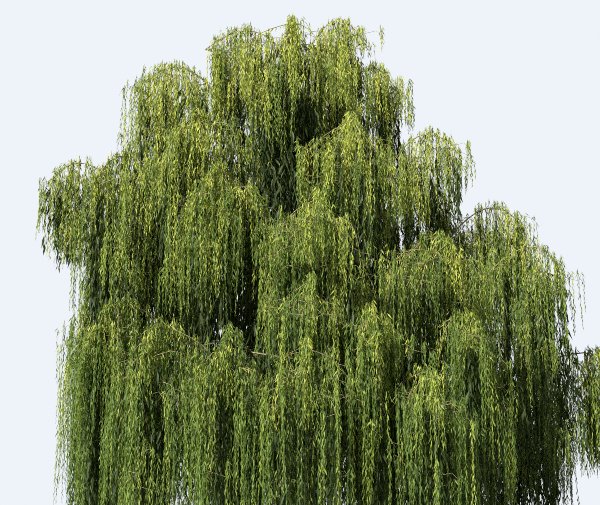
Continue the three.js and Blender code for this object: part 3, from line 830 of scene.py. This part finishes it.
def shoot_path(mass, twig, roots, hem, give, random):
    """A shoot that leaves the twig, arches over and hangs to somewhere above the hem. Its
    length is cut by the share that it gives up."""
    share = between(roots, next(random) ** SHOOT_ROOT_POWER)
    root = point_along(twig, share)
    turn = 2 * math.pi * next(random)
    away = root - outward(mass.azimuth) * mass.reach
    away[2] = 0
    any_way = np.array([math.cos(turn), math.sin(turn), 0])
    heading = unit(any_way + SHOOT_AWAY * away / (mass.width / 2))
    reach = between(SHOOT_REACH, next(random))
    lift = between(SHOOT_LIFT, next(random))
    shoulder = root + heading * reach - UP * (SHOOT_DROP * reach - lift)
    pull = root + heading * SHOOT_SHOULDER * reach + UP * (lift + SHOOT_RISE * reach)
    arch = bend(root, pull, shoulder, ARCH_STEPS)
    high = np.clip((root[2] - HIGH_FROM) / (HIGH_TO - HIGH_FROM), 0, 1)
    longest = between((SHOOT_LONGEST, HIGH_SHOOT_LONGEST), high)
    length = (shoulder[2] - hem) * between(SHOOT_LENGTHS, math.sqrt(next(random)))
    longest *= between((SHOOT_NEAR_ROOT, 1.0), share) * between(LONGEST_CHANCE, next(random))
    length = min(max(length, SHOOT_SHORTEST), longest) * (1 - give)
    down = np.arange(1, HANG_STEPS + 1)[:, None] / HANG_STEPS
    drift = np.array([next(random) - 0.5, next(random) - 0.5, 0]) * 2 * SHOOT_SWAY * length
    hang = shoulder - UP * length * down + drift * down**2
    return np.vstack([arch, hang])


# %% All shoots of a mass, in bundles whose youth makes them yellower, as young leaves are, and paler, as painted light on the crests
Bundle = namedtuple("Bundle", "youth shoots")
SHOOTS_PER_SQUARE_METRE = 6.5
YOUNG_SHOOTS = 5
YOUNG_LENGTH = 0.7
# How much yellower and paler the young bundles are: partly young leaves' own colour, partly
# painted light on the crests
YOUNG_AND_PAINTED_LIGHT_TONE = 0.22
COLUMN_LENGTHS = (2.0, 5.0)
CREST_DROP = 2.0
CREST_BUNDLES_PER_METRE = 3.2


def bundle(mass, bearer, roots, hem, count, random):
    """Shoots of one twig, which hang side by side as one column. Each has a few tries."""
    shoots = []
    for index in range(count):
        for attempt in range(TRIES):
            give = SHOOT_GIVE * attempt / TRIES
            shoot = shoot_path(mass, bearer, roots, hem, give, random)
            if in_space(mass, shoot, SHOOT_ROOM):
                shoots.append(shoot)
                break
    return shoots


def mass_bundles(mass, heads, random):
    """Long shoots from every side twig, and short young ones along each twig and the stem."""
    flank = math.pi * mass.width / 2 * mass.drop
    columns = sum(len(head) - 1 for head in heads)
    count = round(SHOOTS_PER_SQUARE_METRE * flank / columns)
    bundles = []
    for twig, *sides in heads:
        foot = twig[-1]
        hem = max(hem_at(mass, foot), foot[2] - between(COLUMN_LENGTHS, next(random)))
        for side in sides:
            bundles.append(Bundle(0, bundle(mass, side, COLUMN_ROOTS, hem, count, random)))
        young = bundle(mass, twig, YOUNG_ROOTS, foot[2] - YOUNG_LENGTH, YOUNG_SHOOTS, random)
        bundles.append(Bundle(YOUNG_AND_PAINTED_LIGHT_TONE, young))
    stem = stem_path(mass)
    hem = mass.crest - CREST_DROP
    for index in range(round(CREST_BUNDLES_PER_METRE * mass.width)):
        young = bundle(mass, stem, YOUNG_ROOTS, hem, YOUNG_SHOOTS, random)
        bundles.append(Bundle(YOUNG_AND_PAINTED_LIGHT_TONE, young))
    return bundles


def length_of(path):
    return np.linalg.norm(np.diff(path, axis=0), axis=1).sum()


bundles_of = {mass: mass_bundles(mass, heads_of[mass], mass_streams[mass]) for mass in MASSES}
shoots = [shoot for bundles in bundles_of.values() for group in bundles for shoot in group.shoots]
print(len(shoots), "shoots,", round(sum(map(length_of, shoots))), "m in all")

# %% Shade shoots, which fill the middle of every mass and the space round the limbs, and whose leaves are painted near black as painted shade
SHADE_PER_SQUARE_METRE = 5.0
SHADE_ROOT = 0.85
SHADE_LENGTHS = (0.6, 0.95)
SHADE_SHORTEST = 0.5
SHADE_STEPS = 2
INNER_PER_METRE = 20.0
INNER_FROM = 0.3
INNER_REACH = 2.8
INNER_RISE = 0.3
INNER_LENGTHS = (1.5, 4.0)


def shade_shoots(mass, twigs, random):
    """Shoots that hang straight down from the twigs, mostly near the middle of the mass."""
    count = round(SHADE_PER_SQUARE_METRE * mass.width * mass.drop)
    lines = []
    for index in range(count):
        twig = twigs[int(next(random) * len(twigs))]
        root = point_along(twig, SHADE_ROOT * next(random))
        length = (root[2] - mass.crest + mass.drop) * between(SHADE_LENGTHS, next(random))
        if length > SHADE_SHORTEST:
            foot = root - UP * length
            lines.append(bend(root, (root + foot) / 2, foot, SHADE_STEPS))
    return [line for line in lines if in_space(mass, line, SHOOT_ROOM)]


def inner_shoots(path, random):
    """Shaded shoots that hang from a limb or bough, over the outer part of its length."""
    lines = []
    for index in range(round(INNER_PER_METRE * length_of(path) * (1 - INNER_FROM))):
        root = point_along(path, between((INNER_FROM, 1.0), next(random)))
        turn = 2 * math.pi * next(random)
        reach = INNER_REACH * next(random)
        pull = root + np.array([math.cos(turn), math.sin(turn), INNER_RISE]) * reach
        drop = min(between(INNER_LENGTHS, next(random)), root[2] - LOWEST_TIP)
        lines.append(bend(root, pull, pull - UP * drop, SHADE_STEPS))
    return lines


shade = []
for mass in MASSES:
    shade += shade_shoots(mass, twigs_of[mass], mass_streams[mass])
for path, radii in [*limb_lines.values(), *bough_lines.values()]:
    shade += inner_shoots(path, random)
print(len(shade), "shade shoots")

# %% The shoots' wood: plain tubes of three sides, with no bark relief and no caps
SHOOT_PIECES = 2
shoot_radii = taper(SHOOT_RADIUS, SHOOT_TIP_RADIUS, ARCH_STEPS + HANG_STEPS)


def shoot_wood_tree():
    tree, given = new_tree("thin shoots", {"Sides": "Int", "Material": "Material"})
    curve = add(tree, "GeometryNodeMeshToCurve", {0: given["Geometry"]}).outputs[0]
    tube = add(tree, "GeometryNodeCurveToMesh", {
        "Curve": curve, "Profile Curve": round_section(tree, given["Sides"]),
        "Scale": stored_thickness(tree),
    })
    finish_tree(tree, tube.outputs[0], given["Material"])
    return tree


SHOOT_WOOD = shoot_wood_tree()
for number in range(SHOOT_PIECES):
    part = shoots[number::SHOOT_PIECES]
    thin = grown(line_object(f"shoots_{number + 1}", [(shoot, shoot_radii) for shoot in part]),
                 SHOOT_WOOD, Sides=3, Material=SHOOT_BARK)
    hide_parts(*FOLIAGE_NODES)
    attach(thin, "root")
shade_lines = [(line, np.full(len(line), SHOOT_TIP_RADIUS)) for line in shade]
thin = grown(line_object("shoots_shade", shade_lines), SHOOT_WOOD, Sides=3, Material=SHOOT_BARK)
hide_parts(*FOLIAGE_NODES)
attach(thin, "root")

# %% [markdown]
# ## Leaves
#
# A willow leaf is narrow and pointed, eight to fifteen centimetres long, folded a little
# along its middle. Leaves sit all round a shoot and hang at a small angle from it. Two
# triangles give that outline with the fold. Here a leaf is eighteen centimetres long,
# because there are fewer of them, and the ones deep inside are longer still and painted
# near black, as painted shade for the depth of the crown. The tree below walks each shoot
# at an even spacing, turns every leaf a step further round, lets it lean between the
# shoot's own direction and straight down, and rolls it about its length. Bundles of
# shoots are dealt out to a few plain greens. High ones are lighter and yellower and low
# ones deeper, as painted light and shade. Young ones are yellower, as young leaves are,
# and paler as painted light on the crests. Chance makes neighbours differ as on the real
# tree. A picture of a leaf on a square face would need fewer faces, but it goes soft up
# close.

# %% Leaf greens
LEAF_ROUGHNESS = 0.55
LEAF_SHINE = 0.3
LIGHT_THROUGH = 0.3


def leaf_material(name, colour, glow):
    """A thin leaf: some light bounces off its skin, and some comes through it yellower."""
    material, tree = new_material(name)
    skin = add(tree, "ShaderNodeBsdfPrincipled", {
        "Base Color": (*colour, 1), "Roughness": LEAF_ROUGHNESS,
        "Specular IOR Level": LEAF_SHINE,
    })
    through = add(tree, "ShaderNodeBsdfTranslucent", {"Color": (*glow, 1)})
    shares = {0: LIGHT_THROUGH, 1: skin.outputs[0], 2: through.outputs[0]}
    both = add(tree, "ShaderNodeMixShader", shares)
    add(tree, "ShaderNodeOutputMaterial", {"Surface": both.outputs[0]})
    return material


GREENS = {
    "young_yellow_green": ((0.46, 0.5, 0.08), (0.42, 0.46, 0.03)),
    "yellow_green": ((0.34, 0.41, 0.06), (0.31, 0.39, 0.02)),
    "fresh_green": ((0.24, 0.33, 0.05), (0.22, 0.32, 0.02)),
    "leaf_green": ((0.165, 0.25, 0.04), (0.16, 0.26, 0.015)),
    "deep_green": ((0.105, 0.18, 0.03), (0.1, 0.19, 0.01)),
}
# Near-black green of the big leaves deep inside: painted shade for the depth of the crown, darker
# than the leaves there are
PAINTED_SHADE_GREEN = ((0.03, 0.055, 0.01), (0.03, 0.055, 0.01))
# Tone by height: lighter, yellower greens high up and deeper ones low down, as painted light and
# shade
PAINTED_SHADE_LOW_TONE = 1.03
PAINTED_LIGHT_HEIGHT = 21.0
BUNDLE_TONES = 0.7
SHOOT_TONES = 0.5
print(len(GREENS), "greens")

# %% One leaf
LEAF_WIDTH = 0.2
LEAF_WIDEST_AT = 0.38
LEAF_FOLD = 0.035


def leaf_mesh():
    mesh = bpy.data.meshes.new("leaf")
    left = (-LEAF_WIDTH / 2, LEAF_FOLD, LEAF_WIDEST_AT)
    right = (LEAF_WIDTH / 2, LEAF_FOLD, LEAF_WIDEST_AT)
    corners = [(0, 0, 0), left, (0, 0, 1), right]
    mesh.from_pydata(corners, [], [(0, 1, 2), (0, 2, 3)])
    return mesh


leaf = new_object("leaf", leaf_mesh())

# %% The leaf tree
TURN_STEP = math.radians(137.5)
TURN_CHANCE = 0.7
SPLAY_CHANCES = (0.5, 1.3)
SIZE_CHANCES = (0.7, 1.15)
TIP_POWER = 6.0
TIP_SHRINK = 0.5
ALL_THE_WAY = 100.0


def leaf_tree():
    tree, given = new_tree("leaves along shoots", {
        "Leaf": "Object", "Leaf Length": "Float", "Leaf Spacing": "Float", "Bare Length": "Float",
        "Follow": "Float", "Splay": "Float", "Seed": "Int", "Material": "Material",
    })
    curve = add(tree, "GeometryNodeMeshToCurve", {0: given["Geometry"]}).outputs[0]
    trimmed = {"Curve": curve, 4: given["Bare Length"], 5: ALL_THE_WAY}
    curve = add(tree, "GeometryNodeTrimCurve", trimmed, mode="LENGTH").outputs[0]
    spacing = {"Curve": curve, "Length": given["Leaf Spacing"]}
    curve = add(tree, "GeometryNodeResampleCurve", spacing, mode="LENGTH").outputs[0]
    index = add(tree, "GeometryNodeInputIndex").outputs[0]

    def chance(low, high, shift):
        seed = maths(tree, "ADD", given["Seed"], shift)
        return add(tree, "FunctionNodeRandomValue", {2: low, 3: high, "Seed": seed}).outputs[1]

    turn = maths(tree, "MULTIPLY", index, TURN_STEP)
    turn = maths(tree, "ADD", turn, chance(-TURN_CHANCE, TURN_CHANCE, 0))
    side = add(tree, "ShaderNodeCombineXYZ", {
        0: maths(tree, "COSINE", turn), 1: maths(tree, "SINE", turn),
    }).outputs[0]
    along = add(tree, "GeometryNodeInputTangent").outputs[0]
    splay = maths(tree, "MULTIPLY", given["Splay"], chance(*SPLAY_CHANCES, 1))
    aim = vectors(tree, "ADD", scaled(tree, along, given["Follow"]), scaled(tree, side, splay))
    aim = vectors(tree, "ADD", aim, (0, 0, -1))
    turned = add(tree, "FunctionNodeAlignRotationToVector", {"Vector": aim}, axis="Z").outputs[0]
    roll = add(tree, "FunctionNodeAxisAngleToRotation", {
        "Axis": (0, 0, 1), "Angle": chance(0, 2 * math.pi, 2),
    }).outputs[0]
    rolled = {"Rotation": turned, "Rotate By": roll}
    turned = add(tree, "FunctionNodeRotateRotation", rolled, rotation_space="LOCAL").outputs[0]
    near_tip = add(tree, "GeometryNodeSplineParameter").outputs["Factor"]
    near_tip = maths(tree, "POWER", near_tip, TIP_POWER)
    shrink = maths(tree, "MULTIPLY_ADD", near_tip, -TIP_SHRINK, 1.0)
    size = maths(tree, "MULTIPLY", chance(*SIZE_CHANCES, 3), shrink)
    shape = add(tree, "GeometryNodeObjectInfo", {"Object": given["Leaf"]}).outputs["Geometry"]
    leaves = add(tree, "GeometryNodeInstanceOnPoints", {
        "Points": curve, "Instance": shape, "Rotation": turned,
        "Scale": maths(tree, "MULTIPLY", size, given["Leaf Length"]),
    }).outputs[0]
    finish_tree(tree, leaves, given["Material"])
    return tree


LEAVES = leaf_tree()
print("leaf tree of", len(LEAVES.nodes), "nodes")

# %% Dealing the bundles out to the greens
def green_of(tone, random):
    """The green for a tone from 0, the yellowest, to 1, with a little chance."""
    tone += SHOOT_TONES * (next(random) - 0.5)
    return min(max(int(tone * len(GREENS)), 0), len(GREENS) - 1)


random = seeded(SEED)
dealt = [[] for green in GREENS]
for bundles in bundles_of.values():
    for youth_and_painted_light, group in bundles:
        chance = BUNDLE_TONES * (next(random) - 0.5)
        for shoot in group:
            # height gives painted light and shade; youth is partly young leaves' colour, partly
            # painted light
            tone = PAINTED_SHADE_LOW_TONE - shoot[0, 2] / PAINTED_LIGHT_HEIGHT + chance - youth_and_painted_light
            dealt[green_of(tone, random)].append((shoot, shoot_radii))
for line in twig_lines:  # twigs have leaves too, in any green
    dealt[int(next(random) * len(GREENS))].append(line)
print("shoots for each green:", [len(group) for group in dealt])

# %% Growing the leaves
LEAVES_TO_A_PIECE = 95000
LEAF_LENGTH = 0.18
LEAF_SPACING = 0.075
BARE_LENGTH = 0.06
FOLLOW = 0.45
SPLAY = 0.5
SHADE_LEAF_LENGTH = 0.46
SHADE_LEAF_SPACING = 0.21
SHADE_BARE_LENGTH = 0.3
SHADE_SEED = 7
for (name, colours), group in zip(GREENS.items(), dealt):
    material = leaf_material(name, *colours)
    metres = sum(length_of(shoot) for shoot, radii in group)
    pieces = math.ceil(metres / LEAF_SPACING / LEAVES_TO_A_PIECE)
    for number in range(pieces):
        piece = grown(line_object(f"leaves_{name}_{number + 1}", group[number::pieces]), LEAVES,
                      Leaf=leaf, Leaf_Length=LEAF_LENGTH, Leaf_Spacing=LEAF_SPACING,
                      Bare_Length=BARE_LENGTH, Follow=FOLLOW, Splay=SPLAY, Seed=number,
                      Material=material)
        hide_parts(*FOLIAGE_NODES)
        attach(piece, "root")
# The big inner leaves take the near-black green, as painted shade
piece = grown(line_object("leaves_shade_1", shade_lines), LEAVES,
              Leaf=leaf, Leaf_Length=SHADE_LEAF_LENGTH, Leaf_Spacing=SHADE_LEAF_SPACING,
              Bare_Length=SHADE_BARE_LENGTH, Follow=FOLLOW, Splay=SPLAY, Seed=SHADE_SEED,
              Material=leaf_material("painted_shade_green", *PAINTED_SHADE_GREEN))
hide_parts(*FOLIAGE_NODES)
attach(piece, "root")
bpy.data.objects.remove(leaf)

# %% [markdown]
# ## Floor, sky and sun
#
# The tree stands on a plain pale floor under an even pale sky. One sun lamp high up on the
# left and in front lights the tops and the left flanks of the masses, and leaves their
# right flanks and the hollows dark. The lamp is a few degrees wide, so shadows in the
# foliage stay soft. The sky looks bright to the camera but lights the tree only a little:
# a sky picture would do both at once, but would fill in the dark hollows.

# %% Floor
FLOOR_SIZE = 240.0
FLOOR_GREY = (0.36, 0.36, 0.35)
floor_mesh = bpy.data.meshes.new("floor")
half = FLOOR_SIZE / 2
floor_mesh.from_pydata([(-half, -half, 0), (half, -half, 0), (half, half, 0), (-half, half, 0)],
                       [], [(0, 1, 2, 3)])
floor_material, floor_nodes = new_material("pale floor")
floor_sockets = {"Base Color": (*FLOOR_GREY, 1), "Roughness": 0.9}
floor_skin = add(floor_nodes, "ShaderNodeBsdfPrincipled", floor_sockets)
add(floor_nodes, "ShaderNodeOutputMaterial", {"Surface": floor_skin.outputs[0]})
floor_mesh.materials.append(floor_material)
floor = new_object("floor", floor_mesh)
print("floor of", FLOOR_SIZE, "m")

# %% Sky and sun
SKY = (0.9, 0.94, 1.0)
SKY_STRENGTH = 0.18
SKY_SEEN = 0.95
SUN_FROM = (-0.55, -0.6, 0.72)
SUN_STRENGTH = 9.1
SUN_WIDTH = 3.0
SUN_COLOUR = (1.0, 0.96, 0.88)

world = bpy.data.worlds.new("sky")
world.use_nodes = True
backdrop = world.node_tree.nodes["Background"]
backdrop.inputs["Color"].default_value = (*SKY, 1)
seen = add(world.node_tree, "ShaderNodeLightPath").outputs["Is Camera Ray"]
shine = add(world.node_tree, "ShaderNodeMix", {"Factor": seen, "A": SKY_STRENGTH, "B": SKY_SEEN})
world.node_tree.links.new(shine.outputs[0], backdrop.inputs["Strength"])
bpy.context.scene.world = world
sun_data = bpy.data.lights.new("sun", "SUN")
sun_data.energy = SUN_STRENGTH
sun_data.angle = math.radians(SUN_WIDTH)
sun_data.color = SUN_COLOUR
sun = bpy.data.objects.new("sun", sun_data)
sun.rotation_euler = Vector(SUN_FROM).to_track_quat("Z", "Y").to_euler()
bpy.context.collection.objects.link(sun)
bpy.context.scene.view_settings.view_transform = "Standard"
bpy.context.scene.cycles.use_denoising = False
bpy.context.scene.cycles.filter_width = 0.9
print("sun of", SUN_STRENGTH, "from", SUN_FROM)
